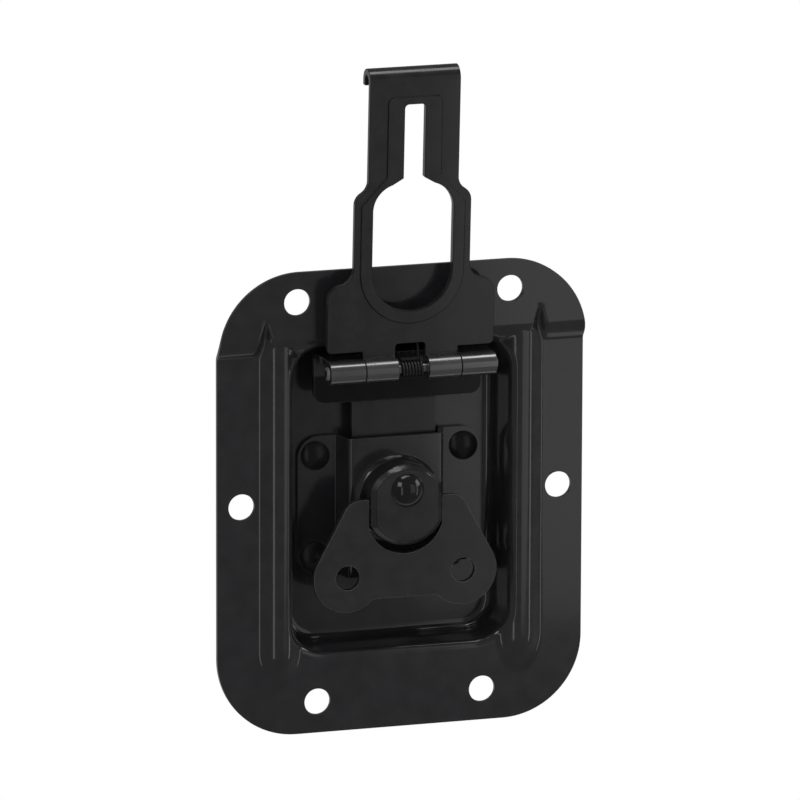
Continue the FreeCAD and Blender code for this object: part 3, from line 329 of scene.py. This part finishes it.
def dish_spokes():
    """The recess mouth, its outward direction and the flange's outer edge, point by point round
    the dish from the bottom. Both outlines are rounded rectangles: straight lines and circular
    arcs. Each spoke joins a point of one to a point of the other, and the spokes are set so
    that the joggle's line lies along them."""
    def line(start, end, t):
        return np.outer(1 - t, start) + np.outer(t, end)

    def arc(centre, radius, low, high, t):
        angle = np.radians(low + (high - low) * t)
        return np.stack([centre[0] + radius * np.cos(angle),
                         centre[1] + radius * np.sin(angle)], axis=-1), angle

    def side(t, degrees):
        return np.repeat(np.radians([degrees]), len(t))

    # how far along each stretch its points lie: half the bottom, the lower corner, the side up
    # to the joggle, the first part of the upper corner, the rest of it, and half the top
    bottom, low, upright, knee = (np.arange(count) / count for count in (20, 28, 64, 30))
    high = (np.arange(44) / 44) ** 1.5
    top = np.linspace(0, 1, 21)
    # the joggle's spoke leaves the mouth's corner at this angle and meets the edge at this z
    joggle_angle, joggle_meets = 61, 33.5

    inside = mouth_half - mouth_corner
    low_centre = (inside, mouth_bottom + mouth_corner)
    high_centre = (inside, mouth_top - mouth_corner)
    low_arc, low_way = arc(low_centre, mouth_corner, -90, 0, low)
    knee_arc, knee_way = arc(high_centre, mouth_corner, 0, joggle_angle, knee)
    high_arc, high_way = arc(high_centre, mouth_corner, joggle_angle, 90, high)
    mouth = np.concatenate([
        line((0, mouth_bottom), (inside, mouth_bottom), bottom), low_arc,
        line((mouth_half, low_centre[1]), (mouth_half, high_centre[1]), upright),
        knee_arc, high_arc, line((inside, mouth_top), (0, mouth_top), top)])
    way = np.concatenate([side(bottom, -90), low_way, side(upright, 0), knee_way, high_way,
                          side(top, 90)])

    inset = half_width - corner
    turn_level = half_height - corner
    rim = np.concatenate([
        line((0, -half_height), (inset, -half_height), bottom),
        arc((inset, -turn_level), corner, -90, 0, low)[0],
        line((half_width, -turn_level), (half_width, joggle_meets), upright),
        line((half_width, joggle_meets), (half_width, turn_level), knee),
        arc((inset, turn_level), corner, 0, 90, high)[0],
        line((inset, half_height), (0, half_height), top)])
    out = np.stack([np.cos(way), np.sin(way)], axis=-1)
    flip = np.array([-1.0, 1.0])
    return [np.concatenate([half, half[-2:0:-1] * flip]) for half in (mouth, out, rim)]


def pressed_dish():
    """The dish as two skins one sheet apart. Rings run from the flange's edge over its height
    field, round the recess's rim on a parabola, down the drafted wall and through the floor's
    quarter bend. The back skin is the front one moved back along its own normals, and a flat
    face closes the floor of each."""
    mouth, out, rim = dish_spokes()
    lean = math.radians(wall_draft_degrees)
    draft = math.tan(lean)

    def wall(level):
        level = np.asarray(level)
        place = mouth + out * ((level - sheet) * draft)[:, None]
        return np.column_stack([place, level])

    inner = mouth + out * mouth_rounding
    rings = []
    # wide steps over the plain flange and close ones over the ribs
    for t in np.concatenate([np.linspace(0, 0.36, 11), np.linspace(0.375, 1, 62)]):
        flat = rim * (1 - t) + inner * t
        rings.append(np.column_stack([flat, dish_height(flat[:, 0], flat[:, 1])]))
    start = rings[-1]
    lip_level = dish_height(mouth[:, 0], mouth[:, 1])
    middle, end = wall(lip_level), wall(lip_level - mouth_rounding)
    for t in np.linspace(0, 1, 10)[1:]:
        rings.append(start * (1 - t) ** 2 + middle * 2 * t * (1 - t) + end * t ** 2)
    bend_top = floor_level + floor_bend
    bend_inset = (sheet - bend_top) * draft + floor_bend / math.cos(lean)
    foot = bend_top - floor_bend * math.sin(lean)
    for t in np.linspace(0, 1, 6)[1:]:
        rings.append(wall(end[:, 2] * (1 - t) + foot * t))
    for angle in np.linspace(lean, math.pi / 2, 11)[1:]:
        place = mouth - out * (bend_inset - floor_bend * math.cos(angle))
        level = np.full(len(place), bend_top - floor_bend * math.sin(angle))
        rings.append(np.column_stack([place, level]))
    front = np.array(rings)
    around = front.shape[1]
    along = np.gradient(front, axis=0)
    across = np.roll(front, -1, axis=1) - np.roll(front, 1, axis=1)
    normal = np.cross(across, along)
    normal /= np.linalg.norm(normal, axis=-1, keepdims=True)
    normal *= np.sign(normal[0, 0, 2])
    back = front - normal * sheet
    count = front.shape[0] * around
    points = np.concatenate([front.reshape(-1, 3), back.reshape(-1, 3)])
    points = np.column_stack([points[:, 0], -points[:, 2], points[:, 1]])
    faces = grid_faces(len(rings), around) + grid_faces(len(rings), around, count)
    spokes = np.arange(around)
    after = (spokes + 1) % around
    faces += np.stack([spokes, after, after + count, spokes + count], axis=-1).tolist()
    last = count - around
    faces += [(spokes + last).tolist(), (spokes + last + count).tolist()]
    return closed_piece("dish_pressed", points, faces, pressed_black)


def turned(name, centre, profile, material, segments=56):
    """A solid of revolution about an axis along Y. The profile's radii and forward heights run
    from the axis in front to the axis behind, in millimetres."""
    radius, front = np.array(profile, dtype=float).T
    angle = np.arange(segments) / segments * 2 * math.pi
    points = np.stack([centre[0] + np.outer(radius, np.cos(angle)),
                       np.repeat(-front[:, None], segments, axis=1),
                       centre[1] + np.outer(radius, np.sin(angle))], axis=-1)
    return closed_piece(name, points.reshape(-1, 3), grid_faces(len(profile), segments), material)


def dome(radius, foot, rise, steps=14):
    """The profile of a spherical cap of one rise over one radius, from its pole outwards."""
    ball = (radius ** 2 + rise ** 2) / (2 * rise)
    out = radius * np.sin(np.linspace(0, math.pi / 2, steps))
    return [(r, foot + rise - ball + math.sqrt(ball ** 2 - r ** 2)) for r in out]


def coil_spring():
    """The torsion spring as one wire about the hinge pin. Its middle line is a straight leg that
    ends on a tangent of the coils, a helix of seven turns and a part, and a second straight
    leg. Each ring of the tube is the wire's circle, square to that line."""
    def tangent(back, up, extra, side):
        """The angle where a leg leaves the coils, and its length. The angle of the point that
        the leg runs through, less or plus the arc cosine of coil radius over distance."""
        far = math.hypot(back, up)
        turn = math.atan2(up, back) + side * math.acos(spring_coil / far)
        return turn, math.sqrt(far ** 2 - spring_coil ** 2) + extra

    steps_per_turn, steps_per_leg, sides = 26, 12, 12
    hook_turn, hook_reach = tangent(*hook_leg, -1)
    shelf_turn, shelf_reach = tangent(*shelf_leg, 1)
    sweep = shelf_turn - hook_turn - 2 * math.pi * spring_turns
    t = np.linspace(0, 1, spring_turns * steps_per_turn + 1)
    angle = hook_turn + sweep * t
    middle = np.column_stack([spring_half * (1 - 2 * t), spring_coil * np.cos(angle),
                              spring_coil * np.sin(angle)])
    hook_way = np.array([0, -math.sin(hook_turn), math.cos(hook_turn)])
    shelf_way = np.array([0, math.sin(shelf_turn), -math.cos(shelf_turn)])
    # a leg's last ring stays a quarter of the wire short of the coil's first
    legs = [np.outer(np.linspace(reach, spring_wire / 4, steps_per_leg), way)
            for reach, way in ((hook_reach, hook_way), (shelf_reach, shelf_way))]
    line = np.concatenate([middle[0] + legs[0], middle, middle[-1] + legs[1][::-1]])
    line += np.array([0, -hinge_front, hinge_level])
    ahead = np.gradient(line, axis=0)
    ahead /= np.linalg.norm(ahead, axis=1, keepdims=True)
    # a direction that no part of the wire runs along, to start each ring from
    side = np.cross(ahead, np.array([1.0, 0.02, 0.03]))
    side /= np.linalg.norm(side, axis=1, keepdims=True)
    across = np.cross(ahead, side)
    angle = np.arange(sides) / sides * 2 * math.pi
    points = (line[:, None] + spring_wire / 2 * (side[:, None] * np.cos(angle)[:, None]
                                                 + across[:, None] * np.sin(angle)[:, None]))
    ends = [list(range(sides)), list(range((len(line) - 1) * sides, len(line) * sides))]
    return closed_piece("hook_spring_wire", points.reshape(-1, 3),
                        grid_faces(len(line), sides) + ends, spring_black)


def drilled(piece, places, segments=64):
    """Cuts round holes along Y through a piece. Each place is x, z and a diameter in mm."""
    reach = 20.0
    angle = np.arange(segments) / segments * 2 * math.pi
    points, faces = [], []
    for x, z, width in places:
        first = len(points) * segments
        for y in (-reach, reach):
            points.append(np.column_stack([x + width / 2 * np.cos(angle), np.full(segments, y),
                                           z + width / 2 * np.sin(angle)]))
        faces += grid_faces(2, segments, first)
        faces += [(np.arange(segments) + first + step).tolist() for step in (0, segments)]
    tool = closed_piece("hole_cutter", np.concatenate(points), faces, pressed_black)
    cut = piece.modifiers.new("holes", "BOOLEAN")
    cut.object = tool
    cut.operation = "DIFFERENCE"
    cut.solver = "EXACT"
    bpy.context.view_layer.update()
    evaluated = piece.evaluated_get(bpy.context.evaluated_depsgraph_get())
    made = bpy.data.meshes.new_from_object(evaluated)
    piece.modifiers.clear()
    piece.data = made
    bpy.data.objects.remove(tool)
    made.shade_smooth()


for name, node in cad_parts.items():
    node.data.materials.clear()
    node.data.materials.append(coats[name])


# the photograph's camera: a long lens 2.3 m away, 17.5 degrees to the left and 13.5 above
turn, rise, roll = (math.radians(angle) for angle in (17.54, 13.48, 0.188))
forward = Vector((math.sin(turn) * math.cos(rise), math.cos(turn) * math.cos(rise),
                  -math.sin(rise)))
level = Vector((math.cos(turn), -math.sin(turn), 0.0))
above = level.cross(forward)
right = level * math.cos(roll) + above * math.sin(roll)
up = above * math.cos(roll) - level * math.sin(roll)
# millimetres from the camera to the flange's front face, the picture's scale there, and the
# pixel at which the origin shows
distance, pixels_per_mm, picture = 2324.0, 4.296, 800
origin_across, origin_down = 400.49, 496.02
off_right = (origin_across - picture / 2) / pixels_per_mm
off_up = (picture / 2 - origin_down) / pixels_per_mm
place = -forward * distance - right * off_right - up * off_up + Vector((0, -sheet, 0))
lens = bpy.data.cameras.new("photo_camera")
lens.sensor_width = 36.0
lens.lens = distance * pixels_per_mm / picture * lens.sensor_width
lens.clip_start = 0.1
lens.clip_end = 20.0
camera = bpy.data.objects.new("photo_camera", lens)
camera.matrix_world = Matrix((
    (right.x, up.x, -forward.x, place.x * MM),
    (right.y, up.y, -forward.y, place.y * MM),
    (right.z, up.z, -forward.z, place.z * MM),
    (0, 0, 0, 1),
))
bpy.context.scene.collection.objects.link(camera)
bpy.context.scene.camera = camera


def lamp(name, spot, aim, width, height, power):
    """A soft rectangular studio lamp that points from its spot to its aim, in metres and
    watts."""
    light = bpy.data.lights.new(name, "AREA")
    light.shape = "RECTANGLE"
    light.size = width
    light.size_y = height
    light.energy = power
    item = bpy.data.objects.new(name, light)
    way = Vector(aim) - Vector(spot)
    item.rotation_euler = way.to_track_quat("-Z", "Y").to_euler()
    item.location = spot
    bpy.context.scene.collection.objects.link(item)


# two tall strips beside the camera, two lamps above them and one wide lamp overhead
origin = (0.0, 0.0, 0.0)
lamp("left_strip", (-0.53, -0.95, -0.1), origin, 0.13, 0.9, 0.5)
lamp("right_strip", (0.93, -0.58, -0.1), origin, 0.13, 0.9, 0.5)
lamp("left_high_lamp", (-0.67, -0.67, 0.55), origin, 0.4, 0.4, 1.5)
lamp("right_high_lamp", (0.96, -0.33, 0.41), origin, 0.4, 0.45, 1.5)
lamp("top_soft_lamp", (0.05, -0.14, 1.05), origin, 0.9, 0.4, 4)
# a dim card to the right of the lens: the flat faces mirror its edge, so they pale rightwards
lamp("front_right_card", (0.325, -0.5, 0.06), (0.325, 0.0, 0.06), 0.31, 0.46, 0.215)

# white paper: the camera sees it glow plain white, and the metal sees it pale grey
backdrop, tree = new_material("white_paper")
paths = add(tree, "ShaderNodeLightPath")
paper = add(tree, "ShaderNodeBsdfDiffuse", inputs={"Color": linear("#b0b0b0")})
glow = add(tree, "ShaderNodeEmission", inputs={"Color": (1, 1, 1, 1), "Strength": 1.0})
mix = add(tree, "ShaderNodeMixShader",
          links={0: paths.outputs["Is Camera Ray"], 1: paper.outputs[0], 2: glow.outputs[0]})
add(tree, "ShaderNodeOutputMaterial", links={"Surface": mix.outputs[0]})

# the floor: one flat sheet that belongs to the stage, in metres
low_y, high_y, half_x, floor_z = -0.05, 3.0, 3.0, -0.30
mesh = bpy.data.meshes.new("paper_floor")
mesh.from_pydata([(-half_x, low_y, floor_z), (half_x, low_y, floor_z),
                  (half_x, high_y, floor_z), (-half_x, high_y, floor_z)], [], [(0, 1, 2, 3)])
mesh.materials.append(backdrop)
item = bpy.data.objects.new("paper_floor", mesh)
bpy.context.scene.collection.objects.link(item)

world = bpy.data.worlds.new("pale_room")
world.use_nodes = True
world.node_tree.nodes.clear()
paths = add(world.node_tree, "ShaderNodeLightPath")
# the room is dim where the gloss mirrors it, and full where it fills the shadows
fill = add(world.node_tree, "ShaderNodeMapRange", inputs={"To Min": 0.82, "To Max": 0.16},
           links={"Value": paths.outputs["Is Glossy Ray"]})
strength = add(world.node_tree, "ShaderNodeMapRange", inputs={"To Max": 1.0},
               links={"Value": paths.outputs["Is Camera Ray"], "To Min": fill.outputs["Result"]})
air = add(world.node_tree, "ShaderNodeBackground", inputs={"Color": (1, 1, 1, 1)},
          links={"Strength": strength.outputs["Result"]})
add(world.node_tree, "ShaderNodeOutputWorld", links={"Surface": air.outputs[0]})
bpy.context.scene.world = world
bpy.context.scene.view_settings.view_transform = "Standard"

# the pieces that keep the solids' own shape: their body, and their edge radius in millimetres
coated = {
    "bridge_plate": ("case_side", 0.25),
    "drawbar": ("slide_bar", 0.25),
    "hinge_pin": ("slide_bar", 0.2),
    "hook_plate": ("hook", 0.2),
    "rotor_hub": ("rotor", 0.4),
    "crank_washer": ("rotor", 0.1),
    "butterfly_handle": ("handle", 0.3),
}
for name, (body, edge) in coated.items():
    softened(name, body, edge)

screw_holes = [(side * x, z, screw_hole) for x, z in screw_places for side in (-1, 1)]
rivet_places = [(side * rivet_across, z) for z in rivet_levels for side in (-1, 1)]
rivet_holes = [(x, z, rivet_hole) for x, z in rivet_places]
dish = pressed_dish()
drilled(dish, screw_holes + rivet_holes)
# the dish's rounded edges in pale grey: wear and painted highlight
dish.data.materials.append(wear_and_highlight_edges)
round_edges(dish, 0.2, 50, "FACE_AREA_WITH_ANGLE")
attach(dish, "case_side")
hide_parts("dish")

# the bridge's rivets: low domes in front, a shank, and peened tails behind the dish's floor,
# as radii and forward heights
rivet_profile = dome(3.4, -7.4, 1.0) + [(3.4, -7.8), (2.0, -7.8), (2.0, -10.0), (3.0, -10.0),
                                        (2.9, -10.5), (2.4, -10.8), (0, -10.8)]
rivets = [turned(f"rivet_{number}", place, rivet_profile, rivet_black)
          for number, place in enumerate(rivet_places)]
for rivet in rivets:
    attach(rivet, "case_side")
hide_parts("bridge_rivets")

# the crank pin: a domed head on the rotor, a shank, and a peened tail behind the washer
pin_profile = dome(3.9, 6.9, 1.9) + [(3.95, 6.75), (3.9, 6.6), (2.0, 6.6), (2.0, -7.0),
                                     (2.6, -7.0), (2.5, -7.5), (0.0, -7.6)]
crank = turned("crank_pin_domed", (0.0, crank_level), pin_profile, pin_black)
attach(crank, "rotor")
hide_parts("crank_pin")

spring = coil_spring()
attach(spring, "slide_bar")
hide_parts("hook_spring")
